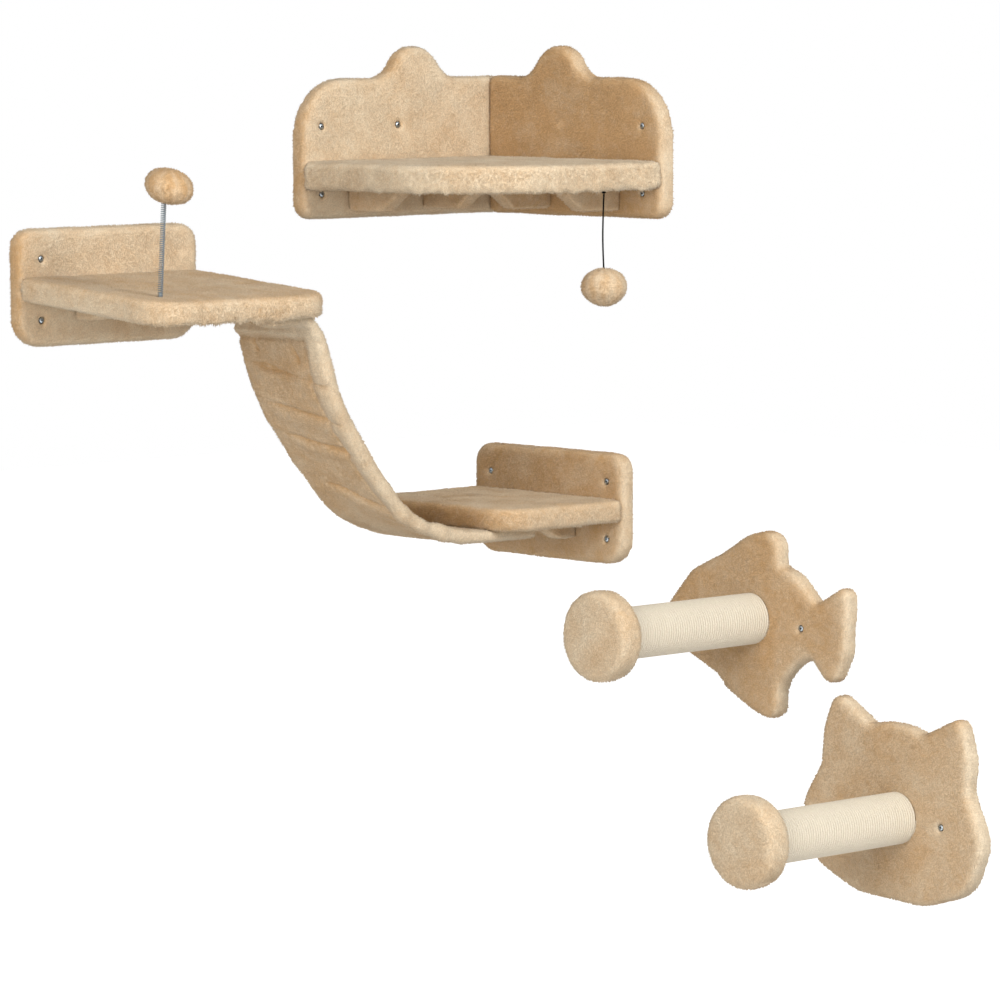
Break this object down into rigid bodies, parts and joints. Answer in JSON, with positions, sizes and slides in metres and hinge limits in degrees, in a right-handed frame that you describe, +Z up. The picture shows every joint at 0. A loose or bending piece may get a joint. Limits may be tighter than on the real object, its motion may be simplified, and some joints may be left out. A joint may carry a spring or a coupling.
{
  "type": "wall mounted cat tree",
  "caption": "Plush covered wall set for a room corner: corner perch, two shelves joined by a soft bridge, sisal post steps with fish and cat head backs, spring and hanging ball toys.",
  "frame": {"origin": "on the corner line of the room, level with the bottom of the corner perch's back boards", "axes": "+Z up; the left wall is the plane X = 0 with the room on its +X side; the right wall is the plane Y = 0 with the room on its -Y side"},
  "size_m": [0.9801, 0.8845, 1.1182],
  "materials": {
    "plush": "short pile, matte",
    "board": "raw pressed board",
    "sisal": "wound natural rope",
    "tube": "matte",
    "zinc": "zinc plated",
    "spring": "bright wire",
    "filling": "soft filling",
    "cord": "woven"
  },
  "bodies": {
    "wall_set": {"perch_left_board": "board", "perch_left_cover": "plush", "perch_left_screws": "zinc", "perch_right_board": "board", "perch_right_cover": "plush", "perch_right_screws": "zinc", "perch_shelf_board": "board", "perch_shelf_cover": "plush", "perch_brackets": "board", "perch_bracket_covers": "plush", "perch_frame_screws": "zinc", "upper_board": "board", "upper_cover": "plush", "upper_screws": "zinc", "upper_shelf_board": "board", "upper_shelf_cover": "plush", "upper_brackets": "board", "upper_bracket_covers": "plush", "upper_frame_screws": "zinc", "lower_board": "board", "lower_cover": "plush", "lower_screws": "zinc", "lower_shelf_board": "board", "lower_shelf_cover": "plush", "lower_brackets": "board", "lower_bracket_covers": "plush", "lower_frame_screws": "zinc", "bridge_mat": "plush", "bridge_screws": "zinc", "fish_board": "board", "fish_cover": "plush", "fish_screws": "zinc", "fish_sisal": "sisal", "fish_tube": "tube", "fish_plugs": "board", "fish_end_board": "board", "fish_end_cover": "plush", "fish_bolts": "zinc", "head_board": "board", "head_cover": "plush", "head_screws": "zinc", "head_sisal": "sisal", "head_tube": "tube", "head_plugs": "board", "head_end_board": "board", "head_end_cover": "plush", "head_bolts": "zinc", "spring_pin": "zinc", "spring_coil_1": "spring", "toy_tack": "zinc"},
    "spring_part_1": {"spring_coil_2": "spring"},
    "spring_part_2": {"spring_coil_3": "spring"},
    "spring_part_3": {"spring_coil_4": "spring"},
    "spring_part_4": {"spring_coil_5": "spring", "spring_ball_core": "filling", "spring_ball_cover": "plush"},
    "toy_knot_body": {"toy_knot": "cord"},
    "toy_swing_body": {"toy_cord": "cord", "hanging_ball_core": "filling", "hanging_ball_cover": "plush"}
  },
  "joints": [
    {"name": "spring_bend_side_1", "type": "hinge", "parent": "wall_set", "child": "spring_part_1", "pos_m": [0.25755, -0.8105, -0.05008], "axis": [0.9972, 0, -0.075], "range_deg": [-10, 10], "stiffness_Nm_per_rad": 0.6},
    {"name": "spring_bend_out_1", "type": "hinge", "parent": "spring_part_1", "child": "spring_part_2", "pos_m": [0.2594, -0.8105, -0.02555], "axis": [0, 1, 0], "range_deg": [-10, 10], "stiffness_Nm_per_rad": 0.6},
    {"name": "spring_bend_side_2", "type": "hinge", "parent": "spring_part_2", "child": "spring_part_3", "pos_m": [0.26115, -0.8105, -0.00221], "axis": [0.9972, 0, -0.075], "range_deg": [-10, 10], "stiffness_Nm_per_rad": 0.6},
    {"name": "spring_bend_out_2", "type": "hinge", "parent": "spring_part_3", "child": "spring_part_4", "pos_m": [0.26299, -0.8105, 0.02232], "axis": [0, 1, 0], "range_deg": [-10, 10], "stiffness_Nm_per_rad": 0.6},
    {"name": "toy_swing_side", "type": "hinge", "parent": "wall_set", "child": "toy_knot_body", "pos_m": [0.3345, -0.1, 0.0379], "axis": [1, 0, 0], "range_deg": [-30, 30]},
    {"name": "toy_swing_along", "type": "hinge", "parent": "toy_knot_body", "child": "toy_swing_body", "pos_m": [0.3345, -0.1, 0.0379], "axis": [0, 1, 0], "range_deg": [-30, 30]}
  ],
  "couplings": [
    {"joint": "spring_bend_side_2", "follows": "spring_bend_side_1", "ratio": 1},
    {"joint": "spring_bend_out_2", "follows": "spring_bend_out_1", "ratio": 1}
  ]
}
